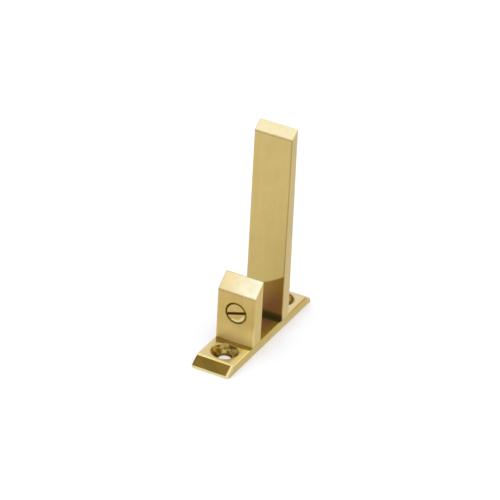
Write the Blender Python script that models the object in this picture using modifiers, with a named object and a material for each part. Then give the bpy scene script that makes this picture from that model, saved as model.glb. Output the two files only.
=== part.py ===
"""Brass floor door holder: a bevel-ended floor bar, a tall stop post and a short catch lug.

The door's foot tongue rides up the lug's sloping top and drops into the gap, where it rests
against the post. A slotted adjusting screw in the lug, with a captive flattened ball in its
rear end, is turned in until the tongue no longer rattles.

Frame: metres, origin at the middle of the bar's underside, +Z up, X across the bar,
-Y towards the end that the lug stands near.
"""
import math

import bmesh
import bpy
from mathutils import Matrix

MM = 0.001
GAP = 0.3 * MM                      # clearance between solids that touch on the real object
CUT = 1.0 * MM                      # how far a cutter runs past the face it opens

# Floor bar
WIDTH = 13.2 * MM
BAR_LENGTH = 55.0 * MM
BAR_THICKNESS = 3.0 * MM
END_LAND = 0.8 * MM                 # upright strip left under each bevelled end
END_BEVEL_RUN = 3.4 * MM            # the ends slope at about 33 degrees
CORNER_ROUND = 0.8 * MM             # the four end corners, worn round by polishing
EDGE_ROUND = 0.3 * MM               # every other polished edge

# Floor screw holes, countersunk at 90 degrees for a 4 mm (No. 8) wood screw
FRONT_HOLE_INSET = 9.6 * MM
REAR_HOLE_INSET = 8.6 * MM
HOLE_RADIUS = 2.05 * MM
SINK_RADIUS = 4.5 * MM

# Catch lug
LUG_FRONT = 15.75 * MM              # from the bar's front end
LUG_DEPTH = 5.0 * MM
LUG_FRONT_HEIGHT = 20.6 * MM        # from the floor
LUG_REAR_HEIGHT = 24.7 * MM

# Stop post
DOOR_GAP = 14.0 * MM
POST_FRONT = LUG_FRONT + LUG_DEPTH + DOOR_GAP
POST_FOOT_DEPTH = 4.5 * MM
POST_TOP_DEPTH = 3.4 * MM           # the rear face leans forward
POST_FRONT_HEIGHT = 67.8 * MM
POST_REAR_HEIGHT = 70.4 * MM

# Adjusting screw, M7 with a 1 mm pitch, and its captive ball
SCREW_HEIGHT = 13.4 * MM
SCREW_RADIUS = 3.5 * MM
SCREW_LENGTH = 5.9 * MM
SCREW_RECESS = 0.1 * MM             # slotted end below the lug's front face
SCREW_CHAMFER = 0.4 * MM
SLOT_WIDTH = 0.95 * MM
SLOT_DEPTH = 1.2 * MM
SLOT_ANGLE = math.radians(17)       # right-hand end raised
BORE_RADIUS = SCREW_RADIUS + GAP
BORE_CHAMFER = 0.2 * MM
BALL_RADIUS = 2.0 * MM
BALL_DEPTH = 1.3 * MM               # ball centre, forward of the screw's rear end
BALL_FLAT = 1.8 * MM                # ball centre to its flat

# Assembly screws, M2.5 countersunk, driven up through the bar into each upright
PIN_RADIUS = 1.25 * MM
PIN_HEAD_RADIUS = 2.35 * MM
PIN_LENGTH = 7.6 * MM
PIN_HEAD_RIM = 0.1 * MM
PIN_RECESS = 0.25 * MM
PIN_SPACING = 6.4 * MM
PIN_TIP_CHAMFER = 0.3 * MM
PIN_SLOT_WIDTH = 0.6 * MM
PIN_SLOT_DEPTH = 0.6 * MM
PIN_HOLE_RADIUS = PIN_RADIUS + GAP
PIN_HOLE_TOP = PIN_RECESS + PIN_LENGTH + GAP

ROUND_STEPS = 48
PIN_STEPS = 24
ALONG_SCREW = Matrix.Rotation(math.pi / 2, 4, "X")      # local +Z to world -Y


def along_bar(from_front):
    """World Y of a place measured from the bar's front end."""
    return from_front - BAR_LENGTH / 2


def clear_scene():
    for obj in list(bpy.data.objects):
        bpy.data.objects.remove(obj, do_unlink=True)


def collection(name):
    made = bpy.data.collections.new(name)
    bpy.context.scene.collection.children.link(made)
    return made


def metal(name, colour, roughness):
    material = bpy.data.materials.new(name)
    material.use_nodes = True
    shader = material.node_tree.nodes["Principled BSDF"]
    shader.inputs["Base Color"].default_value = (*colour, 1.0)
    shader.inputs["Roughness"].default_value = roughness
    shader.inputs["Metallic"].default_value = 1.0
    return material


def add_object(name, mesh, group, material=None):
    obj = bpy.data.objects.new(name, mesh)
    group.objects.link(obj)
    if material:
        mesh.materials.append(material)
    return obj


def mark_cutter(obj):
    obj.hide_render = True
    obj.display_type = "WIRE"
    return obj


def extruded(name, outline, group, material):
    """A (y, z) outline extruded across the bar's width, as a closed mesh with its caps welded."""
    curve = bpy.data.curves.new(name + "_outline", "CURVE")
    curve.dimensions = "2D"
    curve.fill_mode = "BOTH"
    curve.extrude = WIDTH / 2
    spline = curve.splines.new("POLY")
    spline.points.add(len(outline) - 1)
    for point, (y, z) in zip(spline.points, outline):
        point.co = (y, z, 0.0, 1.0)
    spline.use_cyclic_u = True
    drawn = bpy.data.objects.new(name + "_outline", curve)
    group.objects.link(drawn)
    bpy.context.view_layer.update()
    graph = bpy.context.evaluated_depsgraph_get()
    mesh = bpy.data.meshes.new_from_object(drawn.evaluated_get(graph))
    bpy.data.objects.remove(drawn)
    upright = Matrix.Rotation(math.pi / 2, 4, "Z") @ Matrix.Rotation(math.pi / 2, 4, "X")
    mesh.transform(upright)
    solid = bmesh.new()
    solid.from_mesh(mesh)
    bmesh.ops.remove_doubles(solid, verts=solid.verts, dist=0.001 * MM)
    bmesh.ops.dissolve_limit(solid, angle_limit=math.radians(1), verts=solid.verts, edges=solid.edges)
    bmesh.ops.recalc_face_normals(solid, faces=solid.faces)
    solid.to_mesh(mesh)
    solid.free()
    return add_object(name, mesh, group, material)


def round_edges(obj, radius_of):
    """Bevel each edge by the radius that radius_of gives for its two end points."""
    mesh = obj.data
    radii = []
    for edge in mesh.edges:
        ends = [mesh.vertices[index].co for index in edge.vertices]
        radii.append(radius_of(*ends))
    widest = max(radii)
    weights = mesh.attributes.new("bevel_weight_edge", "FLOAT", "EDGE")
    for index, radius in enumerate(radii):
        weights.data[index].value = radius / widest
    bevel = obj.modifiers.new("worn_edges", "BEVEL")
    bevel.limit_method = "WEIGHT"
    bevel.width = widest
    bevel.segments = 2


def turned(name, profile, group, material=None, steps=ROUND_STEPS):
    """A (radius, height) profile, listed top to bottom from axis to axis, turned about Z."""
    mesh = bpy.data.meshes.new(name)
    points = [(radius, 0.0, height) for radius, height in profile]
    edges = [(index, index + 1) for index in range(len(points) - 1)]
    mesh.from_pydata(points, edges, [])
    obj = add_object(name, mesh, group, material)
    screw = obj.modifiers.new("turn", "SCREW")
    screw.steps = steps
    screw.render_steps = steps
    screw.use_merge_vertices = True
    screw.merge_threshold = 0.001 * MM
    screw.use_smooth_shade = True
    return obj


def box_cutter(name, size, place, group):
    mesh = bpy.data.meshes.new(name)
    block = bmesh.new()
    bmesh.ops.create_cube(block, size=1.0)
    bmesh.ops.scale(block, vec=size, verts=block.verts)
    block.to_mesh(mesh)
    block.free()
    obj = add_object(name, mesh, group)
    obj.matrix_world = place
    return mark_cutter(obj)


def cut(obj, cutter):
    boolean = obj.modifiers.new("cut_" + cutter.name, "BOOLEAN")
    boolean.operation = "DIFFERENCE"
    boolean.solver = "EXACT"
    boolean.object = cutter


def settle(obj):
    """Keep the finished shape as the object's own mesh, smooth except at real corners."""
    bpy.context.view_layer.update()
    graph = bpy.context.evaluated_depsgraph_get()
    mesh = bpy.data.meshes.new_from_object(obj.evaluated_get(graph))
    mesh.name = obj.name
    obj.modifiers.clear()
    obj.data = mesh
    mesh.shade_smooth()
    mesh.set_sharp_from_angle(angle=math.radians(35))


def floor_hole_cutter(name, y, group):
    """Countersunk hole for a wood screw, opening upwards."""
    cone_depth = SINK_RADIUS - HOLE_RADIUS
    profile = [
        (0.0, BAR_THICKNESS + CUT),
        (SINK_RADIUS + CUT, BAR_THICKNESS + CUT),
        (HOLE_RADIUS, BAR_THICKNESS - cone_depth),
        (HOLE_RADIUS, -CUT),
        (0.0, -CUT),
    ]
    cutter = mark_cutter(turned(name, profile, group))
    cutter.location = (0.0, y, 0.0)
    return cutter


def pin_hole_cutter(name, x, y, group):
    """Clearance for one assembly screw: its countersink in the bar, then a blind hole above."""
    rim_top = PIN_RECESS + PIN_HEAD_RIM
    profile = [
        (0.0, PIN_HOLE_TOP),
        (PIN_HOLE_RADIUS, PIN_HOLE_TOP),
        (PIN_HOLE_RADIUS, rim_top + PIN_HEAD_RADIUS - PIN_RADIUS),
        (PIN_HEAD_RADIUS + GAP, rim_top),
        (PIN_HEAD_RADIUS + GAP, -CUT),
        (0.0, -CUT),
    ]
    cutter = mark_cutter(turned(name, profile, group, steps=PIN_STEPS))
    cutter.location = (x, y, 0.0)
    return cutter


def pin_places():
    """Name, x and y of each assembly screw: a pair under the lug and a pair under the post."""
    lug_middle = along_bar(LUG_FRONT + LUG_DEPTH / 2)
    post_middle = along_bar(POST_FRONT + POST_FOOT_DEPTH / 2)
    places = []
    for owner, y in (("lug", lug_middle), ("post", post_middle)):
        for side, x in (("left", -PIN_SPACING / 2), ("right", PIN_SPACING / 2)):
            places.append((owner, f"{owner}_screw_{side}", x, y))
    return places


def make_base_plate(parts, cutters, pin_cutters, material):
    front = along_bar(0.0)
    rear = along_bar(BAR_LENGTH)
    outline = [
        (front, 0.0),
        (rear, 0.0),
        (rear, END_LAND),
        (rear - END_BEVEL_RUN, BAR_THICKNESS),
        (front + END_BEVEL_RUN, BAR_THICKNESS),
        (front, END_LAND),
    ]
    bar = extruded("base_plate", outline, parts, material)

    def radius_of(a, b):
        if abs(a.z - b.z) > END_LAND / 2:
            return CORNER_ROUND
        return EDGE_ROUND if a.z > BAR_THICKNESS / 2 else 0.0

    round_edges(bar, radius_of)
    for name, from_front in (("front", FRONT_HOLE_INSET), ("rear", BAR_LENGTH - REAR_HOLE_INSET)):
        cut(bar, floor_hole_cutter(f"{name}_floor_hole", along_bar(from_front), cutters))
    for cutter in pin_cutters["lug"] + pin_cutters["post"]:
        cut(bar, cutter)
    settle(bar)


def upright(name, front, foot_depth, top_depth, front_height, rear_height, parts, material):
    """A polished upright bar with a top that slopes down towards the front."""
    foot = BAR_THICKNESS + GAP
    y_front = along_bar(front)
    outline = [
        (y_front, foot),
        (y_front + foot_depth, foot),
        (y_front + top_depth, rear_height),
        (y_front, front_height),
    ]
    bar = extruded(name, outline, parts, material)

    def radius_of(a, b):
        return EDGE_ROUND if max(a.z, b.z) > foot + MM else 0.0

    round_edges(bar, radius_of)
    return bar


def make_catch_lug(parts, cutters, pin_cutters, material):
    lug = upright("catch_lug", LUG_FRONT, LUG_DEPTH, LUG_DEPTH,
                  LUG_FRONT_HEIGHT, LUG_REAR_HEIGHT, parts, material)
    flare = BORE_RADIUS + BORE_CHAMFER
    profile = [
        (0.0, CUT),
        (flare + CUT, CUT),
        (BORE_RADIUS, -BORE_CHAMFER),
        (BORE_RADIUS, -LUG_DEPTH - CUT),
        (0.0, -LUG_DEPTH - CUT),
    ]
    bore = mark_cutter(turned("adjuster_bore", profile, cutters))
    bore.matrix_world = Matrix.Translation((0.0, along_bar(LUG_FRONT), SCREW_HEIGHT)) @ ALONG_SCREW
    cut(lug, bore)
    for cutter in pin_cutters["lug"]:
        cut(lug, cutter)
    settle(lug)


def make_stop_post(parts, pin_cutters, material):
    post = upright("stop_post", POST_FRONT, POST_FOOT_DEPTH, POST_TOP_DEPTH,
                   POST_FRONT_HEIGHT, POST_REAR_HEIGHT, parts, material)
    for cutter in pin_cutters["post"]:
        cut(post, cutter)
    settle(post)


def arc(radius, centre, start, stop, count):
    """Points of a circle about (0, centre), from angle start to stop, measured from +Z."""
    points = []
    for index in range(count + 1):
        angle = start + (stop - start) * index / count
        points.append((radius * math.sin(angle), centre + radius * math.cos(angle)))
    return points


def make_adjusting_screw(parts, cutters, material):
    """Headless slotted screw whose rear end holds the ball in a lipped socket."""
    top = -SCREW_RECESS
    bottom = top - SCREW_LENGTH
    socket_radius = BALL_RADIUS + GAP
    centre = bottom + BALL_DEPTH
    mouth = math.pi - math.acos(BALL_DEPTH / socket_radius)
    socket = arc(socket_radius, centre, mouth, 0.0, 12)
    socket[-1] = (0.0, centre + socket_radius)
    profile = [
        (0.0, top),
        (SCREW_RADIUS - SCREW_CHAMFER, top),
        (SCREW_RADIUS, top - SCREW_CHAMFER),
        (SCREW_RADIUS, bottom + SCREW_CHAMFER),
        (SCREW_RADIUS - SCREW_CHAMFER, bottom),
    ] + socket
    place = Matrix.Translation((0.0, along_bar(LUG_FRONT), SCREW_HEIGHT)) @ ALONG_SCREW
    screw = turned("adjusting_screw", profile, parts, material)
    screw.matrix_world = place
    slot_place = place @ Matrix.Rotation(SLOT_ANGLE, 4, "Z") @ Matrix.Translation((0.0, 0.0, top))
    slot_size = (2 * SCREW_RADIUS + CUT, SLOT_WIDTH, 2 * SLOT_DEPTH)
    cut(screw, box_cutter("adjuster_slot", slot_size, slot_place, cutters))
    settle(screw)


def make_pressure_ball(parts, material):
    """Captive ball, flattened where it bears on the door's tongue."""
    centre = -SCREW_RECESS - SCREW_LENGTH + BALL_DEPTH
    flat_angle = math.acos(-BALL_FLAT / BALL_RADIUS)
    profile = arc(BALL_RADIUS, centre, 0.0, flat_angle, 14)
    profile[0] = (0.0, centre + BALL_RADIUS)
    profile.append((0.0, centre - BALL_FLAT))
    ball = turned("pressure_ball", profile, parts, material)
    ball.matrix_world = Matrix.Translation((0.0, along_bar(LUG_FRONT), SCREW_HEIGHT)) @ ALONG_SCREW
    settle(ball)


def make_assembly_screw(name, x, y, parts, cutters, material):
    rim_top = PIN_HEAD_RIM
    profile = [
        (0.0, PIN_LENGTH),
        (PIN_RADIUS - PIN_TIP_CHAMFER, PIN_LENGTH),
        (PIN_RADIUS, PIN_LENGTH - PIN_TIP_CHAMFER),
        (PIN_RADIUS, rim_top + PIN_HEAD_RADIUS - PIN_RADIUS),
        (PIN_HEAD_RADIUS, rim_top),
        (PIN_HEAD_RADIUS, 0.0),
        (0.0, 0.0),
    ]
    screw = turned(name, profile, parts, material, PIN_STEPS)
    screw.location = (x, y, PIN_RECESS)
    slot_size = (2 * PIN_HEAD_RADIUS + CUT, PIN_SLOT_WIDTH, 2 * PIN_SLOT_DEPTH)
    slot_place = Matrix.Translation((x, y, PIN_RECESS))
    cut(screw, box_cutter(name + "_slot", slot_size, slot_place, cutters))
    settle(screw)


def main():
    clear_scene()
    parts = collection("floor_door_holder")
    cutters = collection("cutters")
    polished = metal("polished_brass", (0.80, 0.58, 0.24), 0.18)
    turned_brass = metal("turned_brass", (0.76, 0.55, 0.23), 0.24)
    steel = metal("zinc_steel", (0.62, 0.62, 0.60), 0.32)

    pin_cutters = {"lug": [], "post": []}
    for owner, name, x, y in pin_places():
        pin_cutters[owner].append(pin_hole_cutter(name + "_hole", x, y, cutters))

    make_base_plate(parts, cutters, pin_cutters, polished)
    make_catch_lug(parts, cutters, pin_cutters, polished)
    make_stop_post(parts, pin_cutters, polished)
    make_adjusting_screw(parts, cutters, turned_brass)
    make_pressure_ball(parts, steel)
    for _, name, x, y in pin_places():
        make_assembly_screw(name, x, y, parts, cutters, turned_brass)


main()
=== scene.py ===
"""Looks of the brass floor door holder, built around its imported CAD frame.

Lengths in the named values are in metres. The bar lies along Y with its front end at -Y, and the camera
stands at the front right, above the object.
"""

import math

import bmesh
import bpy
from mathutils import Matrix, Vector


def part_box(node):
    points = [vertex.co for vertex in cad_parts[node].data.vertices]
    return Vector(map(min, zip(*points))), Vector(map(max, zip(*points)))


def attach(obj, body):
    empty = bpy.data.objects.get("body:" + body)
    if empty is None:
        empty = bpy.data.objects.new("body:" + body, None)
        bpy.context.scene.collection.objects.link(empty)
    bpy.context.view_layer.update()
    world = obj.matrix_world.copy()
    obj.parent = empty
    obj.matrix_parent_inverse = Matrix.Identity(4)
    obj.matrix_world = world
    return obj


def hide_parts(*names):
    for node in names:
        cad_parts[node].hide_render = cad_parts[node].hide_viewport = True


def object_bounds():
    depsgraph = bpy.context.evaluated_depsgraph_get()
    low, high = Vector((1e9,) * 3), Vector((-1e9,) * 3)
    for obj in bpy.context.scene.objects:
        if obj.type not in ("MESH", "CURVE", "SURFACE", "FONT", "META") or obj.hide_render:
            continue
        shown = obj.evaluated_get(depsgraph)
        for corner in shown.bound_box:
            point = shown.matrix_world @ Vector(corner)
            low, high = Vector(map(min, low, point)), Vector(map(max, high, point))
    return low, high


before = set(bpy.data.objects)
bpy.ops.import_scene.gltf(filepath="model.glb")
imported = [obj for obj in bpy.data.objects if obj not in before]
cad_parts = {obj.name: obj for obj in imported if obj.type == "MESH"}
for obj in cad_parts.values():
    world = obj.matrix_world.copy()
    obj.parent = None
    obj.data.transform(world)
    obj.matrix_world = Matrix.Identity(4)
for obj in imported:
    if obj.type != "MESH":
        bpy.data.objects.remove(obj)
cad_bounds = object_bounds()

MM = 0.001

# Floor bar
END_LAND = 0.8 * MM
END_BEVEL_RUN = 3.4 * MM
CORNER_ROUND = 0.8 * MM
BAR_EDGE_ROUND = 0.35 * MM
FRONT_HOLE_INSET = 9.6 * MM
REAR_HOLE_INSET = 8.6 * MM
FLOOR_HOLE_RADIUS = 2.05 * MM
SINK_RADIUS = 4.5 * MM
RIM_ROUND = 0.22 * MM
SINK_RIM_STEPS = 5
HOLE_RIM_STEPS = 4
BAR_ROUND_STEPS = 5

# Uprights
EDGE_ROUND = 0.22 * MM
EDGE_ROUND_STEPS = 4
LUG_RAMP_RISE = 4.1 * MM
POST_RAMP_RISE = 2.6 * MM
POST_TOP_DEPTH = 3.4 * MM

# Line on the post's front below which the shade of the door gap is painted: its height in the middle, its
# slope and its curve along X
LINE_HEIGHT = 15.2 * MM
LINE_SLOPE = 0.45
LINE_CURVE = 25.0

# Adjusting screw
SCREW_RADIUS = 3.5 * MM
SCREW_PITCH = 1.0 * MM
THREAD_DEPTH = 0.4 * MM
SCREW_EDGE = 0.4 * MM
SLOT_WIDTH = 0.95 * MM
SLOT_DEPTH = 1.2 * MM
SLOT_ANGLE = math.radians(17)
BORE_RADIUS = 3.6 * MM
BORE_RIM = 0.2 * MM
BORE_RIM_STEPS = 4
BALL_RADIUS = 2.0 * MM
BALL_DEPTH = 1.3 * MM
SOCKET_RADIUS = 2.3 * MM
RINGS_PER_PITCH = 16

# Assembly screws
PIN_RADIUS = 1.25 * MM
PIN_HEAD_RADIUS = 2.35 * MM
PIN_HEAD_RIM = 0.1 * MM
PIN_SLOT_WIDTH = 0.6 * MM
PIN_SLOT_DEPTH = 0.6 * MM
PIN_RING_GAP = 0.075 * MM
PIN_STEPS = 64
PIN_SHANK_CLEARANCE = 0.05 * MM
PIN_HEAD_CLEARANCE = 0.08 * MM
PIN_TIP_CLEARANCE = 0.2 * MM
PIN_HOLE_FLARE = 0.25 * MM
PIN_HOLE_REACH = 0.1 * MM
PIN_HOLE_STEPS = 48

# Meshes: how far a cutter reaches past a face, steps in a full turn and in a ball's profile, and the
# angle above which an edge is left sharp
CUT = 1.0 * MM
TURN_STEPS = 96
BALL_STEPS = 40
SHARP_DEGREES = 40
BALL_SHARP_DEGREES = 25
PIN_SHARP_DEGREES = 35
HALF_TURN = math.pi

# Finish: noise scales are in cycles a metre. TEXTURE_RANGE is the range of noise values that is spread
# over a roughness range.
UPWARD_RANGE = (0.25, 0.6)
MOTTLE_SCALE = 180.0
BLOTCH_SCALE = 420.0
TEXTURE_RANGE = (0.45, 0.9)
ZONE_ROUGHNESS_SPREAD = 0.04
ZONE_TONES = (1.03, 0.96)
WAVE_SCALE = 110.0
WAVE_HEIGHT = 0.6 * MM
SCRATCH_DEPTH = 0.02 * MM
CHATTER_SCALE = 620.0
CHATTER_DEPTH = 0.6 * MM
CHATTER_DIRT = (0.15, 0.085, 0.012)


# ---------------------------------------------------------------- node helpers

def new_material(name):
    material = bpy.data.materials.new(name)
    material.use_nodes = True
    tree = material.node_tree
    return material, tree, tree.nodes["Principled BSDF"]


def add_node(tree, kind, **settings):
    node = tree.nodes.new(kind)
    for key, value in settings.items():
        setattr(node, key, value)
    return node


def feed(tree, socket, value):
    """Link value to the socket if it is another node's output, else set it as a constant."""
    if isinstance(value, bpy.types.NodeSocket):
        tree.links.new(value, socket)
    else:
        socket.default_value = value


def noise(tree, vector, scale, detail, roughness):
    node = add_node(tree, "ShaderNodeTexNoise")
    node.inputs["Scale"].default_value = scale
    node.inputs["Detail"].default_value = detail
    node.inputs["Roughness"].default_value = roughness
    tree.links.new(vector, node.inputs["Vector"])
    return node.outputs["Fac"]


def stretched(tree, vector, stretch):
    node = add_node(tree, "ShaderNodeMapping")
    node.inputs["Scale"].default_value = stretch
    tree.links.new(vector, node.inputs["Vector"])
    return node.outputs["Vector"]


def remap(tree, value, low, high, out_low, out_high):
    node = add_node(tree, "ShaderNodeMapRange")
    node.inputs["From Min"].default_value = low
    node.inputs["From Max"].default_value = high
    node.inputs["To Min"].default_value = out_low
    node.inputs["To Max"].default_value = out_high
    tree.links.new(value, node.inputs["Value"])
    return node.outputs["Result"]


def mix_colour(tree, factor, first, second):
    node = add_node(tree, "ShaderNodeMix", data_type="RGBA")
    tree.links.new(factor, node.inputs["Factor"])
    for socket, colour in ((node.inputs[6], first), (node.inputs[7], second)):
        feed(tree, socket, colour if isinstance(colour, bpy.types.NodeSocket) else (*colour, 1.0))
    return node.outputs[2]


def bump(tree, height, distance, strength, normal=None):
    node = add_node(tree, "ShaderNodeBump")
    node.inputs["Distance"].default_value = distance
    node.inputs["Strength"].default_value = strength
    tree.links.new(height, node.inputs["Height"])
    if normal is not None:
        tree.links.new(normal, node.inputs["Normal"])
    return node.outputs["Normal"]


def calculate(tree, operation, *values):
    node = add_node(tree, "ShaderNodeMath", operation=operation)
    for socket, value in zip(node.inputs, values):
        feed(tree, socket, value)
    return node.outputs[0]


def product(tree, first, *others):
    for other in others:
        first = calculate(tree, "MULTIPLY", first, other)
    return first


def rising(tree, value, low, high):
    """0 below low, 1 above high, smooth between. It falls instead when low is the larger."""
    node = add_node(tree, "ShaderNodeMapRange", interpolation_type="SMOOTHSTEP")
    node.inputs["From Min"].default_value = low
    node.inputs["From Max"].default_value = high
    tree.links.new(value, node.inputs["Value"])
    return node.outputs["Result"]


def between(tree, value, low, high, blur):
    """1 from low to high, fading to 0 over blur outside."""
    return product(tree, rising(tree, value, low - blur, low), rising(tree, value, high + blur, high))


def mix_value(tree, factor, first, second):
    node = add_node(tree, "ShaderNodeMix", data_type="FLOAT")
    tree.links.new(factor, node.inputs[0])
    feed(tree, node.inputs[2], first)
    feed(tree, node.inputs[3], second)
    return node.outputs[0]


def brass(name, light, deep, sides, tops, grain, zones=(), wave=0.25, chatter=None):
    """Metal with faint tone changes, polishing lines along one axis and a soft buffed wave.

    light and deep are the two tones. grain is the scale of the lines' noise along each axis.
    sides and tops are (lowest, highest) roughness of upright and upward faces. Each zone is
    (mask, colour, roughness), where mask(tree, x, y, z) gives how far its colour and roughness cover a
    place; many zones are painted light and shade.
    chatter is a mask for surfaces left rough by the cutting tool. Masks read the piece's own coordinates.
    """
    material, tree, shader = new_material(name)
    coordinates = add_node(tree, "ShaderNodeTexCoord")
    place = coordinates.outputs["Object"]
    axes = add_node(tree, "ShaderNodeSeparateXYZ")
    tree.links.new(place, axes.inputs[0])
    facing = add_node(tree, "ShaderNodeSeparateXYZ")
    tree.links.new(coordinates.outputs["Normal"], facing.inputs[0])
    upward = rising(tree, facing.outputs["Z"], *UPWARD_RANGE)

    mottle = noise(tree, place, MOTTLE_SCALE, 4.0, 0.6)
    streak = noise(tree, stretched(tree, place, [scale / 4 for scale in grain]), 1.0, 2.0, 0.5)
    tone = calculate(tree, "MULTIPLY_ADD", streak, 0.8, mottle)
    tone = remap(tree, tone, 0.6, 1.2, 0.0, 1.0)
    colour = mix_colour(tree, tone, light, deep)
    lines = noise(tree, stretched(tree, place, grain), 1.0, 2.0, 0.55)
    blotch = noise(tree, place, BLOTCH_SCALE, 3.0, 0.55)
    texture = calculate(tree, "MULTIPLY_ADD", lines, 0.35, blotch)
    side_rough = remap(tree, texture, *TEXTURE_RANGE, *sides)
    top_rough = remap(tree, texture, *TEXTURE_RANGE, *tops)
    roughness = mix_value(tree, upward, side_rough, top_rough)
    for mask, zone_colour, zone_roughness in zones:
        cover = mask(tree, *[axes.outputs[axis] for axis in "XYZ"])
        toned = mix_colour(tree, tone, *[[tint * part for part in zone_colour] for tint in ZONE_TONES])
        colour = mix_colour(tree, cover, colour, toned)
        worn = remap(tree, texture, *TEXTURE_RANGE,
                     zone_roughness - ZONE_ROUGHNESS_SPREAD, zone_roughness + ZONE_ROUGHNESS_SPREAD)
        roughness = mix_value(tree, cover, roughness, worn)

    buffed = bump(tree, noise(tree, place, WAVE_SCALE, 1.0, 0.4), WAVE_HEIGHT, wave)
    scratched = bump(tree, lines, SCRATCH_DEPTH, 0.25, buffed)
    if chatter:
        cover = chatter(tree, *[axes.outputs[axis] for axis in "XYZ"])
        marks = noise(tree, place, CHATTER_SCALE, 1.0, 0.5)
        scratched = bump(tree, product(tree, cover, marks), CHATTER_DEPTH, 0.7, scratched)
        dirty = product(tree, cover, remap(tree, marks, 0.36, 0.62, 0.95, 0.0))
        colour = mix_colour(tree, dirty, colour, CHATTER_DIRT)

    tree.links.new(colour, shader.inputs["Base Color"])
    tree.links.new(roughness, shader.inputs["Roughness"])
    tree.links.new(scratched, shader.inputs["Normal"])
    shader.inputs["Metallic"].default_value = 1.0
    return material


# ---------------------------------------------------------------- mesh helpers

def add_object(name, mesh, material=None):
    obj = bpy.data.objects.new(name, mesh)
    bpy.context.scene.collection.objects.link(obj)
    if material:
        mesh.materials.append(material)
    return obj


def apply_modifiers(obj):
    bpy.context.view_layer.update()
    graph = bpy.context.evaluated_depsgraph_get()
    mesh = bpy.data.meshes.new_from_object(obj.evaluated_get(graph))
    obj.modifiers.clear()
    obj.data = mesh


def finished(obj, sharp_degrees):
    """Apply the modifiers, and shade the result smooth but for edges sharper than sharp_degrees."""
    apply_modifiers(obj)
    obj.data.name = obj.name
    obj.data.shade_smooth()
    obj.data.set_sharp_from_angle(angle=math.radians(sharp_degrees))
    return obj


def weighted_normals(obj):
    """Shade the flats flat, and let only their rounded edges bend the light."""
    modifier = obj.modifiers.new("face_weighted", "WEIGHTED_NORMAL")
    modifier.mode = "FACE_AREA"
    modifier.weight = 100
    modifier.keep_sharp = True


def prism(name, outline, half_width, material):
    """A (y, z) outline, anticlockwise from +X, extruded across X."""
    solid = bmesh.new()
    near = [solid.verts.new((half_width, y, z)) for y, z in outline]
    far = [solid.verts.new((-half_width, y, z)) for y, z in outline]
    solid.faces.new(near)
    solid.faces.new(list(reversed(far)))
    count = len(outline)
    for index in range(count):
        following = (index + 1) % count
        solid.faces.new((near[index], far[index], far[following], near[following]))
    bmesh.ops.recalc_face_normals(solid, faces=solid.faces)
    mesh = bpy.data.meshes.new(name)
    solid.to_mesh(mesh)
    solid.free()
    return add_object(name, mesh, material)


def round_edges(obj, radius_of, segments):
    """Bevel each edge by the radius that radius_of gives for its end points."""
    mesh = obj.data
    radii = [radius_of(*[mesh.vertices[index].co for index in edge.vertices]) for edge in mesh.edges]
    widest = max(radii)
    weights = mesh.attributes.new("bevel_weight_edge", "FLOAT", "EDGE")
    for index, radius in enumerate(radii):
        weights.data[index].value = radius / widest
    modifier = obj.modifiers.new("worn_edges", "BEVEL")
    modifier.limit_method = "WEIGHT"
    modifier.width = widest
    modifier.segments = segments
    modifier.use_clamp_overlap = False


def turned(name, profile, material=None, steps=TURN_STEPS):
    """A (radius, height) profile, top to bottom from axis to axis, turned about Z."""
    mesh = bpy.data.meshes.new(name)
    points = [(radius, 0.0, height) for radius, height in profile]
    mesh.from_pydata(points, [(index, index + 1) for index in range(len(points) - 1)], [])
    obj = add_object(name, mesh, material)
    modifier = obj.modifiers.new("turn", "SCREW")
    modifier.steps = steps
    modifier.render_steps = steps
    modifier.use_merge_vertices = True
    modifier.merge_threshold = 0.001 * MM
    return obj


def arc(centre, radius, start, stop, count):
    """Points of a circle about centre (radius, height); angles are measured from +radius towards +height."""
    points = []
    for index in range(count + 1):
        angle = start + (stop - start) * index / count
        points.append((centre[0] + radius * math.cos(angle), centre[1] + radius * math.sin(angle)))
    return points


def cut(obj, cutter):
    """Subtract cutter from obj and remove it."""
    modifier = obj.modifiers.new("cut", "BOOLEAN")
    modifier.operation = "DIFFERENCE"
    modifier.solver = "EXACT"
    modifier.object = cutter
    apply_modifiers(obj)
    bpy.data.objects.remove(cutter, do_unlink=True)


def box(name, size, place):
    """A box centred on the place matrix."""
    solid = bmesh.new()
    bmesh.ops.create_cube(solid, size=1.0)
    bmesh.ops.scale(solid, vec=size, verts=solid.verts)
    mesh = bpy.data.meshes.new(name)
    solid.to_mesh(mesh)
    solid.free()
    obj = add_object(name, mesh)
    obj.matrix_world = place
    return obj


def stand_for(obj, node, body):
    """Let obj ride with body and take the place of the CAD node."""
    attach(obj, body)
    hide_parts(node)


# ---------------------------------------------------------------- pieces

def floor_hole_cutter(y, thickness):
    """Countersunk floor hole whose rim is rolled over slightly."""
    cone_depth = SINK_RADIUS - FLOOR_HOLE_RADIUS
    rim = arc((SINK_RADIUS + RIM_ROUND, thickness - RIM_ROUND), RIM_ROUND,
              HALF_TURN / 2, HALF_TURN * 3 / 4, SINK_RIM_STEPS)
    inner_rim = arc((FLOOR_HOLE_RADIUS + RIM_ROUND, thickness - cone_depth - RIM_ROUND), RIM_ROUND,
                    HALF_TURN * 3 / 4, HALF_TURN, HOLE_RIM_STEPS)
    profile = [(0.0, thickness + CUT), (SINK_RADIUS + RIM_ROUND, thickness + CUT)]
    profile += rim + inner_rim
    profile += [(FLOOR_HOLE_RADIUS, -CUT), (0.0, -CUT)]
    cutter = turned("floor_hole", profile)
    cutter.location = (0.0, y, 0.0)
    return cutter


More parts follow.
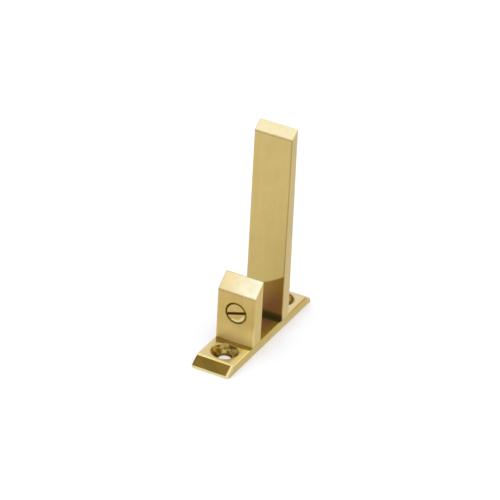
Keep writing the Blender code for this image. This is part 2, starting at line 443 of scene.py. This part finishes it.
def pin_hole_cutter(x, y, low, high):
    """Clearance for an assembly screw: its countersink in the bar and a hole up to high."""
    shank_hole = PIN_RADIUS + PIN_SHANK_CLEARANCE
    profile = [
        (0.0, high),
        (shank_hole, high),
        (shank_hole, low + PIN_HEAD_RIM + PIN_HEAD_RADIUS - PIN_RADIUS),
        (PIN_HEAD_RADIUS + PIN_HEAD_CLEARANCE, low + PIN_HEAD_RIM),
        (PIN_HEAD_RADIUS + PIN_HOLE_FLARE, -PIN_HOLE_REACH),
        (0.0, -PIN_HOLE_REACH),
    ]
    cutter = turned("pin_hole", profile, steps=PIN_HOLE_STEPS)
    cutter.location = (x, y, 0.0)
    return cutter


def pin_boxes():
    """Lowest and highest corner of each assembly screw."""
    return {node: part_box(node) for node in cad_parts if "_screw_" in node}


def cut_pin_holes(obj, owners):
    """Cut the holes of the assembly screws that belong to these uprights ("lug", "post")."""
    for node, (low, high) in pin_boxes().items():
        if node.split("_")[0] in owners:
            middle = (Vector(low) + Vector(high)) / 2
            cut(obj, pin_hole_cutter(middle.x, middle.y, low[2], high[2] + PIN_TIP_CLEARANCE))


def make_base_plate(material):
    low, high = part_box("base_plate")
    outline = [
        (low[1], low[2]),
        (high[1], low[2]),
        (high[1], low[2] + END_LAND),
        (high[1] - END_BEVEL_RUN, high[2]),
        (low[1] + END_BEVEL_RUN, high[2]),
        (low[1], low[2] + END_LAND),
    ]
    bar = prism("floor_bar", outline, high[0], material)
    middle = (low[2] + high[2]) / 2

    def radius_of(a, b):
        if abs(a.z - b.z) > END_LAND / 2:
            return CORNER_ROUND
        return BAR_EDGE_ROUND if a.z > middle else 0.0

    round_edges(bar, radius_of, BAR_ROUND_STEPS)
    for y in (low[1] + FRONT_HOLE_INSET, high[1] - REAR_HOLE_INSET):
        cut(bar, floor_hole_cutter(y, high[2]))
    cut_pin_holes(bar, ("lug", "post"))
    weighted_normals(finished(bar, SHARP_DEGREES))
    stand_for(bar, "base_plate", "frame")


def upright(name, node, ramp_rise, top_depth, material):
    """An upright flat with a front-sloping top, standing on the bar."""
    low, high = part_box(node)
    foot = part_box("base_plate")[1][2]
    outline = [
        (low[1], foot),
        (high[1], foot),
        (low[1] + top_depth, high[2]),
        (low[1], high[2] - ramp_rise),
    ]
    flat = prism(name, outline, high[0], material)

    def radius_of(a, b):
        return EDGE_ROUND if max(a.z, b.z) > foot + MM else 0.0

    round_edges(flat, radius_of, EDGE_ROUND_STEPS)
    return flat


def bore_cutter(y_front, y_rear, height):
    """The lug's tapped bore, with a rolled rim at the front."""
    depth = y_rear - y_front
    rim = arc((BORE_RADIUS + BORE_RIM, -BORE_RIM), BORE_RIM, HALF_TURN / 2, HALF_TURN, BORE_RIM_STEPS)
    profile = [(0.0, CUT), (BORE_RADIUS + BORE_RIM, CUT)] + rim
    profile += [(BORE_RADIUS, -depth - CUT), (0.0, -depth - CUT)]
    cutter = turned("bore", profile)
    cutter.matrix_world = Matrix.Translation((0.0, y_front, height)) @ Matrix.Rotation(HALF_TURN / 2, 4, "X")
    return cutter


def make_catch_lug(material):
    low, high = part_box("catch_lug")
    lug = upright("ramped_lug", "catch_lug", LUG_RAMP_RISE, high[1] - low[1], material)
    screw_low, screw_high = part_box("adjusting_screw")
    cut(lug, bore_cutter(low[1], high[1], (screw_low[2] + screw_high[2]) / 2))
    cut_pin_holes(lug, ("lug",))
    weighted_normals(finished(lug, SHARP_DEGREES))
    stand_for(lug, "catch_lug", "frame")


def make_stop_post(material):
    post = upright("tall_post", "stop_post", POST_RAMP_RISE, POST_TOP_DEPTH, material)
    cut_pin_holes(post, ("post",))
    weighted_normals(finished(post, SHARP_DEGREES))
    stand_for(post, "stop_post", "frame")


def screw_body(name, profile_radius, length, ring_gap, steps, material, pitch=SCREW_PITCH, depth=0.0):
    """A closed turned body from z = 0 down to -length. Its thread, if any, fades out at both ends."""
    rings = int(length / ring_gap)
    solid = bmesh.new()
    grid = []
    for ring in range(rings + 1):
        z = -length * ring / rings
        fade = max(0.0, min(1.0, -z / SCREW_EDGE, (length + z) / SCREW_EDGE))
        row = []
        for step in range(steps):
            angle = 2 * HALF_TURN * step / steps
            phase = (z / pitch + step / steps) % 1.0
            tooth = abs(2 * phase - 1)
            radius = profile_radius(z) - depth * tooth * fade
            row.append(solid.verts.new((radius * math.cos(angle), radius * math.sin(angle), z)))
        grid.append(row)
    for upper, lower in zip(grid, grid[1:]):
        for step in range(steps):
            following = (step + 1) % steps
            solid.faces.new((upper[step], lower[step], lower[following], upper[following]))
    solid.faces.new(grid[0])
    solid.faces.new(list(reversed(grid[-1])))
    bmesh.ops.recalc_face_normals(solid, faces=solid.faces)
    mesh = bpy.data.meshes.new(name)
    solid.to_mesh(mesh)
    solid.free()
    return add_object(name, mesh, material)


def make_adjusting_screw(material):
    low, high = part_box("adjusting_screw")
    length = high[1] - low[1]
    height = (low[2] + high[2]) / 2

    def radius_at(z):
        from_end = min(-z, length + z)
        return SCREW_RADIUS - max(0.0, SCREW_EDGE - from_end)

    ring_gap = SCREW_PITCH / RINGS_PER_PITCH
    screw = screw_body("slotted_screw", radius_at, length, ring_gap, TURN_STEPS, material, depth=THREAD_DEPTH)
    screw.matrix_world = Matrix.Translation((0.0, low[1], height)) @ Matrix.Rotation(HALF_TURN / 2, 4, "X")
    bpy.context.view_layer.update()
    place = screw.matrix_world @ Matrix.Rotation(SLOT_ANGLE, 4, "Z")
    cut(screw, box("slot", (2 * SCREW_RADIUS + CUT, SLOT_WIDTH, 2 * SLOT_DEPTH), place))
    ball_height = -length + BALL_DEPTH
    profile = [(0.0, ball_height + SOCKET_RADIUS)]
    profile += arc((0.0, ball_height), SOCKET_RADIUS, HALF_TURN / 2, -HALF_TURN / 2, BALL_STEPS)[1:-1]
    profile += [(0.0, ball_height - SOCKET_RADIUS)]
    socket = turned("socket", profile)
    socket.matrix_world = screw.matrix_world
    cut(screw, socket)
    weighted_normals(finished(screw, SHARP_DEGREES))
    stand_for(screw, "adjusting_screw", "adjuster")


def make_pressure_ball(material):
    low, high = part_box("pressure_ball")
    middle = (Vector(low) + Vector(high)) / 2
    centre = low[1] + BALL_RADIUS
    flat = high[1] - centre
    edge = math.asin(flat / BALL_RADIUS)
    profile = [(0.0, BALL_RADIUS)] + arc((0.0, 0.0), BALL_RADIUS, HALF_TURN / 2, -edge, BALL_STEPS)[1:]
    profile += [(0.0, -flat)]
    ball = turned("flattened_ball", profile, material)
    ball.matrix_world = Matrix.Translation((0.0, centre, middle.z)) @ Matrix.Rotation(HALF_TURN / 2, 4, "X")
    finished(ball, BALL_SHARP_DEGREES)
    stand_for(ball, "pressure_ball", "ball")


def make_assembly_screw(node, low, high, material):
    """A slotted countersunk screw, head down. It is inside the metal, so it has no thread."""
    middle = (Vector(low) + Vector(high)) / 2
    length = high[2] - low[2]

    def radius_at(z):
        height = length + z
        if height < PIN_HEAD_RIM:
            return PIN_HEAD_RADIUS
        return max(PIN_RADIUS, PIN_HEAD_RADIUS - (height - PIN_HEAD_RIM))

    screw = screw_body(node + "_brass", radius_at, length, PIN_RING_GAP, PIN_STEPS, material)
    screw.matrix_world = Matrix.Translation((middle.x, middle.y, high[2]))
    bpy.context.view_layer.update()
    slot_place = Matrix.Translation((middle.x, middle.y, low[2]))
    cut(screw, box("slot", (2 * PIN_HEAD_RADIUS + CUT, PIN_SLOT_WIDTH, 2 * PIN_SLOT_DEPTH), slot_place))
    weighted_normals(finished(screw, PIN_SHARP_DEGREES))
    stand_for(screw, node, "frame")


# ---------------------------------------------------------------- places with their own finish, and with painted light and shade

def on_sides(node):
    """A mask for the two faces of a flat that look along X."""
    half_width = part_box(node)[1][0]

    def sides(tree, x, y, z):
        return rising(tree, calculate(tree, "ABSOLUTE", x), half_width - 0.15 * MM, half_width - 0.05 * MM)

    return sides


def on_front(front, tree, y):
    """1 on an upright's front face, at y = front."""
    return rising(tree, y, front + 0.35 * MM, front + 0.15 * MM)


def ramp_edge_reflection(node, ramp_rise):
    """A mask for the painted dark reflection on an upright's front face, right under the ramp's rounded edge.
    """
    low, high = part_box(node)
    edge = high[2] - ramp_rise

    def line(tree, x, y, z):
        return product(tree, between(tree, z, edge - 0.45 * MM, edge - 0.2 * MM, 0.1 * MM),
                       on_front(low[1], tree, y))

    return line


def from_axis(tree, x, y):
    """Distance from the origin of an (x, y) plane."""
    squared = calculate(tree, "ADD", calculate(tree, "POWER", x, 2.0), calculate(tree, "POWER", y, 2.0))
    return calculate(tree, "SQRT", squared)


def on_bar_top(tree, z):
    """1 on the floor bar's top face."""
    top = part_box("base_plate")[1][2]
    return rising(tree, z, top - 0.3 * MM, top - 0.1 * MM)


def in_floor_holes(tree, x, y, z):
    """1 on the countersinks and bores of the two floor holes."""
    low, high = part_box("base_plate")
    across = calculate(tree, "POWER", calculate(tree, "DIVIDE", x, SINK_RADIUS), 2.0)
    cover = None
    for hole in (low[1] + FRONT_HOLE_INSET, high[1] - REAR_HOLE_INSET):
        away = calculate(tree, "DIVIDE", calculate(tree, "SUBTRACT", y, hole), SINK_RADIUS)
        squared = calculate(tree, "ADD", across, calculate(tree, "POWER", away, 2.0))
        inside = rising(tree, squared, 1.08, 1.0)
        cover = inside if cover is None else calculate(tree, "ADD", cover, inside)
    return product(tree, cover, between(tree, z, 0.1 * MM, high[2] - 0.3 * MM, 0.08 * MM))


def bar_zones():
    """The floor bar has painted shade in the door gap, a painted shadow and painted shade at the uprights'
    feet, painted shade down its bores and a painted dark reflection on its end bevels. It is darker in its
    countersinks.

    It has painted highlights on the edges around the front hole, on its front land and at the right corner
    of its ends, and a painted reflection along the rear of its right top edge.
    """
    low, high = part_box("base_plate")
    lug_low, lug_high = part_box("catch_lug")
    post_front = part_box("stop_post")[0][1]

    # Painted shade: the bar's top is painted dark in the door gap between the lug and the post.
    def gap_shade(tree, x, y, z):
        along = between(tree, y, lug_high[1] - MM, post_front + MM, 0.2 * MM)
        return product(tree, along, on_bar_top(tree, z))

    # Painted shade: darker still in the middle of the door gap.
    def deeper_gap_shade(tree, x, y, z):
        return product(tree, gap_shade(tree, x, y, z), between(tree, x, -1.5 * MM, 3.5 * MM, 2.5 * MM))

    # Painted shade in the crease where the post stands on the bar.
    def post_crease_shade(tree, x, y, z):
        along = between(tree, y, post_front - 0.9 * MM, post_front + MM, 0.9 * MM)
        return product(tree, along, on_bar_top(tree, z))

    # Painted shadow: a dark strip on the bar in front of the lug's foot, widest at the left.
    def lug_foot_shadow(tree, x, y, z):
        front_line = calculate(tree, "MULTIPLY_ADD", x, 0.10, lug_low[1] - 2.6 * MM)
        behind_line = rising(tree, calculate(tree, "SUBTRACT", y, front_line), -0.2 * MM, 0.3 * MM)
        before_lug = rising(tree, y, lug_high[1], lug_high[1] - MM)
        slanted = calculate(tree, "MULTIPLY_ADD", y, 0.5, x)
        left_end = lug_low[0] + 0.5 * lug_low[1]
        right_of_end = rising(tree, slanted, left_end, left_end + 0.2 * MM)
        return product(tree, behind_line, before_lug, right_of_end, on_bar_top(tree, z))

    # Painted reflection: the end bevels are painted dark brown, standing in for the dark they reflect.
    def ends(tree, x, y, z):
        bevel_start = high[1] - END_BEVEL_RUN
        from_middle = calculate(tree, "ABSOLUTE", y)
        return product(tree, rising(tree, from_middle, bevel_start + 0.02 * MM, bevel_start + 0.25 * MM),
                       rising(tree, z, END_LAND - 0.05 * MM, END_LAND + 0.1 * MM))

    # A darker band across the middle of the painted dark reflection on each end bevel.
    def end_middles(tree, x, y, z):
        slanted = calculate(tree, "MULTIPLY_ADD", calculate(tree, "ABSOLUTE", y), -1.5, x)
        return product(tree, ends(tree, x, y, z), between(tree, slanted, -41.0 * MM, -38.5 * MM, 2.5 * MM))

    # Painted highlight on the right corner of each end bevel.
    def corner_highlight(tree, x, y, z):
        return product(tree, ends(tree, x, y, z), rising(tree, x, high[0] - 1.2 * MM, high[0] - 0.8 * MM))

    # Painted highlight on the thin upright land under the front bevel.
    def front_land(tree, x, y, z):
        return product(tree, rising(tree, y, low[1] + 0.9 * MM, low[1] + 0.1 * MM),
                       between(tree, z, 0.0, END_LAND, 0.1 * MM))

    # Painted highlight along the bar's right top edge in front of the lug, and along its front top edge.
    def edge_highlight(tree, x, y, z):
        bevel_end = low[1] + END_BEVEL_RUN
        along = product(tree, rising(tree, y, lug_low[1] + 0.5 * MM, lug_low[1] - 0.5 * MM),
                        rising(tree, x, high[0] - 3.0 * MM, high[0] - 1.2 * MM))
        across = rising(tree, y, bevel_end + 1.3 * MM, bevel_end + 0.5 * MM)
        return product(tree, calculate(tree, "MAXIMUM", along, across), on_bar_top(tree, z))

    # Painted reflection: an orange line along the rounded right top edge, behind the post's front.
    def rear_edge_reflection(tree, x, y, z):
        return product(tree, rising(tree, x, high[0] - 0.5 * MM, high[0] - 0.3 * MM),
                       rising(tree, z, high[2] - 0.5 * MM, high[2] - 0.3 * MM),
                       rising(tree, y, post_front, post_front + 10.0 * MM))

    # Painted shade down the floor holes' bores.
    def bore_shade(tree, x, y, z):
        return product(tree, in_floor_holes(tree, x, y, z), rising(tree, z, 0.9 * MM, 0.6 * MM))

    return (
        (on_sides("base_plate"), (0.67, 0.53, 0.225), 0.46),
        (gap_shade, (0.54, 0.38, 0.055), 0.40),
        (deeper_gap_shade, (0.44, 0.28, 0.12), 0.40),
        (post_crease_shade, (0.20, 0.16, 0.06), 0.40),
        (edge_highlight, (0.97, 0.81, 0.33), 0.55),
        (lug_foot_shadow, (0.32, 0.22, 0.035), 0.40),
        (rear_edge_reflection, (0.60, 0.33, 0.085), 0.40),
        (front_land, (0.96, 0.84, 0.50), 0.40),
        (ends, (0.205, 0.116, 0.014), 0.27),
        (end_middles, (0.175, 0.100, 0.013), 0.27),
        (corner_highlight, (0.76, 0.58, 0.24), 0.27),
        (in_floor_holes, (0.55, 0.355, 0.075), 0.34),
        (bore_shade, (0.16, 0.11, 0.03), 0.40),
    )


def lug_zones():
    """The lug has a buffed ramp, painted paler to the right as a highlight, painted shade round its bore rim
    and on its rear face, a painted dark reflection under the ramp's edge, and painted light low on its front
    and on its front right corner.
    """
    low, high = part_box("catch_lug")
    slope = LUG_RAMP_RISE / (high[1] - low[1])
    screw_low, screw_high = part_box("adjusting_screw")
    screw_height = (screw_low[2] + screw_high[2]) / 2

    # Painted shade: the lug's rear face, facing the door gap, is painted darker.
    def rear_face_shade(tree, x, y, z):
        return rising(tree, y, high[1] - 0.3 * MM, high[1] - 0.1 * MM)

    # Painted highlight: a bright line down the lug's front right edge, low down.
    def corner_highlight(tree, x, y, z):
        return product(tree, rising(tree, x, high[0] - 0.3 * MM, high[0] - 0.15 * MM),
                       rising(tree, y, low[1] + 0.3 * MM, low[1] + 0.15 * MM),
                       rising(tree, z, 10.5 * MM, 9.0 * MM))

    def ramp(tree, x, y, z):
        levelled = calculate(tree, "MULTIPLY_ADD", calculate(tree, "SUBTRACT", y, high[1]), -slope, z)
        return rising(tree, levelled, high[2] - 0.15 * MM, high[2] - 0.05 * MM)

    # Painted highlight: the ramp is painted paler towards its right side.
    def ramp_highlight(tree, x, y, z):
        return product(tree, ramp(tree, x, y, z), rising(tree, x, low[0], high[0]))

    # Painted light: the lug's front is painted lighter low down, away from its left edge.
    def low_front_light(tree, x, y, z):
        side = rising(tree, x, low[0] * 1.4, high[0] * 0.2)
        return product(tree, rising(tree, z, 12.0 * MM, 6.0 * MM), side, on_front(low[1], tree, y))

    # Painted shade: a brown ring on the rim round the screw's bore.
    def bore_ring_shade(tree, x, y, z):
        around = from_axis(tree, x, calculate(tree, "SUBTRACT", z, screw_height))
        rim_edge = BORE_RADIUS + BORE_RIM
        return product(tree, rising(tree, around, rim_edge + 0.1 * MM, rim_edge), on_front(low[1], tree, y))

    return (
        (on_sides("catch_lug"), (0.765, 0.60, 0.275), 0.56),
        (ramp, (0.83, 0.60, 0.235), 0.18),
        (ramp_highlight, (0.87, 0.75, 0.40), 0.16),
        (low_front_light, (1.0, 0.80, 0.36), 0.60),
        (bore_ring_shade, (0.46, 0.32, 0.06), 0.40),
        (ramp_edge_reflection("catch_lug", LUG_RAMP_RISE), (0.55, 0.43, 0.17), 0.56),
        (rear_face_shade, (0.60, 0.40, 0.18), 0.40),
        (corner_highlight, (0.95, 0.80, 0.44), 0.30),
    )


def post_zones():
    """The post's front has painted shade of the door gap below a line that climbs to the right, deepest in the
    middle and in the crease at its foot. It is painted lighter above that line, and has painted dark
    reflections under the ramp's edge and down its front right edge.
    """
    low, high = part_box("stop_post")

    # Painted light: the post's front is painted lighter from the gap line up to about 38 mm, towards the
    # right.
    def low_front_light(tree, x, y, z):
        side = rising(tree, x, low[0] * 1.5, high[0] * 0.4)
        return product(tree, rising(tree, z, 38.0 * MM, 14.0 * MM), side, on_front(low[1], tree, y))

    # Painted reflection: a darker line down the post's rounded front right edge.
    def right_edge_reflection(tree, x, y, z):
        return product(tree, rising(tree, x, high[0] - 0.45 * MM, high[0] - 0.25 * MM),
                       rising(tree, y, low[1] + 0.25 * MM, low[1] + 0.1 * MM))

    # Painted shade: the post's front below the line, in the door gap, is painted dark.
    def below_line_shade(tree, x, y, z):
        curve = calculate(tree, "MULTIPLY_ADD", calculate(tree, "POWER", x, 2.0), LINE_CURVE, LINE_HEIGHT)
        line = calculate(tree, "MULTIPLY_ADD", x, LINE_SLOPE, curve)
        under = rising(tree, calculate(tree, "SUBTRACT", line, z), -0.35 * MM, 0.35 * MM)
        return product(tree, under, on_front(low[1], tree, y))

    # Painted shade: darker still in the middle of the door gap, low down on the post.
    def deeper_gap_shade(tree, x, y, z):
        middle = between(tree, x, -1.0 * MM, 4.0 * MM, 2.5 * MM)
        return product(tree, below_line_shade(tree, x, y, z), middle, rising(tree, z, 14.0 * MM, 10.0 * MM))

    # Painted shade in the crease at the post's foot.
    def foot(tree, x, y, z):
        return product(tree, rising(tree, z, low[2] + 2.4 * MM, low[2] + 0.9 * MM), on_front(low[1], tree, y))

    return (
        (on_sides("stop_post"), (0.75, 0.61, 0.335), 0.56),
        (low_front_light, (1.0, 0.87, 0.39), 0.58),
        (ramp_edge_reflection("stop_post", POST_RAMP_RISE), (0.60, 0.47, 0.19), 0.56),
        (right_edge_reflection, (0.55, 0.42, 0.16), 0.55),
        (below_line_shade, (0.54, 0.36, 0.10), 0.42),
        (deeper_gap_shade, (0.52, 0.32, 0.155), 0.42),
        (foot, (0.20, 0.16, 0.06), 0.40),
    )


def screw_zones():
    """The adjusting screw has painted shade in its slot and on one side of its chamfer, and a painted
    highlight on one side of its rim.

    Its own Z axis points out of the slotted end, which is at z = 0.
    """
    # Painted shade in the slot.
    def slot_shade(tree, x, y, z):
        inside = rising(tree, from_axis(tree, x, y), SCREW_RADIUS, SCREW_RADIUS - SCREW_EDGE)
        depth = between(tree, z, -SLOT_DEPTH - 0.05 * MM, -0.15 * MM, 0.1 * MM)
        return product(tree, inside, depth)

    # Painted highlight: a bright crescent on one side of the slotted face's rim.
    def rim(tree, x, y, z):
        ring = rising(tree, from_axis(tree, x, y), 2.0 * MM, 2.4 * MM)
        sideways = calculate(tree, "MULTIPLY_ADD", x, 0.45, calculate(tree, "MULTIPLY", y, -0.9))
        return product(tree, ring, rising(tree, sideways, 1.3 * MM, 1.8 * MM),
                       rising(tree, z, -0.1 * MM, -0.03 * MM))

    # Painted shade: a brown ring on the upper left of the chamfer, beside the dark gap round the screw.
    def chamfer_shade(tree, x, y, z):
        ring = product(tree, rising(tree, from_axis(tree, x, y), 3.05 * MM, 3.15 * MM),
                       rising(tree, z, -MM, -0.8 * MM))
        return product(tree, ring, rising(tree, calculate(tree, "ADD", x, y), 4.2 * MM, 2.8 * MM))

    return (
        (slot_shade, (0.34, 0.19, 0.0), 0.45),
        (rim, (1.0, 0.92, 0.56), 0.30),
        (chamfer_shade, (0.55, 0.40, 0.10), 0.40),
    )


# ---------------------------------------------------------------- studio

def flat_sheet(name, size, material):
    """A rectangle in the XY plane, centred on the origin."""
    mesh = bpy.data.meshes.new(name)
    solid = bmesh.new()
    bmesh.ops.create_grid(solid, x_segments=1, y_segments=1, size=0.5)
    bmesh.ops.scale(solid, vec=(size[0], size[1], 1.0), verts=solid.verts)
    solid.to_mesh(mesh)
    solid.free()
    return add_object(name, mesh, material)


def pale_floor():
    material, _, shader = new_material("pale_floor")
    shader.inputs["Base Color"].default_value = (0.97, 0.92, 0.83, 1.0)
    shader.inputs["Roughness"].default_value = 0.9
    shader.inputs["Emission Color"].default_value = (1.0, 0.95, 0.85, 1.0)
    shader.inputs["Emission Strength"].default_value = 0.06
    floor = flat_sheet("studio_floor", (12.0, 12.0), material)
    floor.location.z = cad_bounds[0][2] - 0.05 * MM


def card(name, size, material):
    """A flat card that shows only in reflections, as a photographer sets beside polished metal."""
    made = flat_sheet(name, size, material)
    made.visible_camera = False
    made.visible_diffuse = False
    made.visible_shadow = False
    return made


def cream_sheet(colour, strength):
    """What the object's upright faces reflect: a cream sheet on the floor around it."""
    material, _, shader = new_material("cream_sheet")
    shader.inputs["Base Color"].default_value = (0.0, 0.0, 0.0, 1.0)
    shader.inputs["Specular IOR Level"].default_value = 0.0
    shader.inputs["Emission Color"].default_value = (*colour, 1.0)
    shader.inputs["Emission Strength"].default_value = strength
    sheet = card("cream_sheet", (12.0, 12.0), material)
    sheet.location.z = cad_bounds[0][2] - 0.03 * MM


def hang(obj, direction, distance):
    """Place obj that way from the origin, at that distance, with its -Z side facing the origin."""
    away = Vector(direction).normalized()
    obj.location = away * distance
    obj.rotation_euler = away.to_track_quat("Z", "Y").to_euler()


def dark_flag(name, direction, distance, size):
    """A near-black card, whose reflection gives polished metal its dark bands."""
    material, _, shader = new_material(name)
    shader.inputs["Base Color"].default_value = (0.02, 0.018, 0.015, 1.0)
    shader.inputs["Roughness"].default_value = 1.0
    hang(card(name, size, material), direction, distance)


def softbox(name, direction, distance, size, power, colour):
    light = bpy.data.lights.new(name, "AREA")
    light.shape = "RECTANGLE"
    light.size = size[0]
    light.size_y = size[1]
    light.energy = power
    light.color = colour
    obj = bpy.data.objects.new(name, light)
    bpy.context.scene.collection.objects.link(obj)
    hang(obj, direction, distance)
    obj.visible_camera = False


def world_light(colour, strength):
    world = bpy.data.worlds.new("studio_air")
    bpy.context.scene.world = world
    world.use_nodes = True
    background = world.node_tree.nodes["Background"]
    background.inputs["Color"].default_value = (*colour, 1.0)
    background.inputs["Strength"].default_value = strength


def studio_camera():
    """A long lens at the front right, above the object and turned slightly about its own axis."""
    azimuth = math.radians(26.9)
    elevation = math.radians(30.79)
    roll = math.radians(3.11)
    distance = 1.083
    back = Vector((math.sin(azimuth) * math.cos(elevation),
                   -math.cos(azimuth) * math.cos(elevation),
                   math.sin(elevation)))
    level_right = Vector((math.cos(azimuth), math.sin(azimuth), 0.0))
    level_up = back.cross(level_right)
    right = math.cos(roll) * level_right + math.sin(roll) * level_up
    up = -math.sin(roll) * level_right + math.cos(roll) * level_up
    middle = Vector((0.0, -0.25 * MM, 30.0 * MM))
    aim = middle - 1.875 * MM * right + 0.475 * MM * up
    data = bpy.data.cameras.new("studio_camera")
    data.lens = 252.0
    data.sensor_width = 36.0
    data.clip_end = 20.0
    camera = bpy.data.objects.new("studio_camera", data)
    bpy.context.scene.collection.objects.link(camera)
    turn = Matrix((right, up, back)).transposed().to_4x4()
    camera.matrix_world = Matrix.Translation(aim + back * distance) @ turn
    bpy.context.scene.camera = camera


def main():
    upright_grain = (2500.0, 2500.0, 90.0)
    bar_grain = (2500.0, 90.0, 2500.0)
    turned_grain = (1800.0, 1800.0, 1800.0)
    ball_grain = (900.0, 900.0, 900.0)
    matt, polished, satin = (0.50, 0.62), (0.14, 0.24), (0.30, 0.42)
    post_brass = brass("post_brass", light=(0.795, 0.63, 0.285), deep=(0.745, 0.58, 0.25),
                       sides=matt, tops=polished, grain=upright_grain, zones=post_zones())
    lug_brass = brass("lug_brass", light=(0.78, 0.59, 0.24), deep=(0.72, 0.53, 0.20),
                      sides=matt, tops=polished, grain=upright_grain, zones=lug_zones(), wave=0.12)
    bar_brass = brass("bar_brass", light=(0.79, 0.62, 0.29), deep=(0.74, 0.57, 0.25),
                      sides=(0.40, 0.52), tops=(0.32, 0.44), grain=bar_grain, zones=bar_zones(),
                      chatter=in_floor_holes)
    screw_brass = brass("screw_brass", light=(0.77, 0.59, 0.26), deep=(0.70, 0.52, 0.21),
                        sides=satin, tops=satin, grain=turned_grain, zones=screw_zones())
    turned_brass = brass("turned_brass", light=(0.77, 0.59, 0.26), deep=(0.68, 0.50, 0.20),
                         sides=(0.20, 0.34), tops=(0.20, 0.30), grain=turned_grain)
    steel = brass("ball_steel", light=(0.62, 0.62, 0.60), deep=(0.52, 0.52, 0.51),
                  sides=(0.12, 0.22), tops=(0.12, 0.22), grain=ball_grain, wave=0.05)

    studio_camera()
    world_light(colour=(0.97, 1.02, 1.12), strength=1.0)
    pale_floor()
    cream_sheet(colour=(0.80, 0.78, 0.665), strength=1.0)
    softbox("overhead_softbox", direction=(-0.118, -0.127, 0.985), distance=1.2, size=(1.6, 1.09),
            power=4.6, colour=(0.35, 0.47, 1.0))
    dark_flag("dark_card_front", direction=(-0.463, -0.497, 0.734), distance=1.6, size=(3.0, 0.41))

    make_base_plate(bar_brass)
    make_catch_lug(lug_brass)
    make_stop_post(post_brass)
    make_adjusting_screw(screw_brass)
    make_pressure_ball(steel)
    for node, (low, high) in pin_boxes().items():
        make_assembly_screw(node, low, high, turned_brass)

    bpy.context.scene.view_settings.view_transform = "Standard"


main()
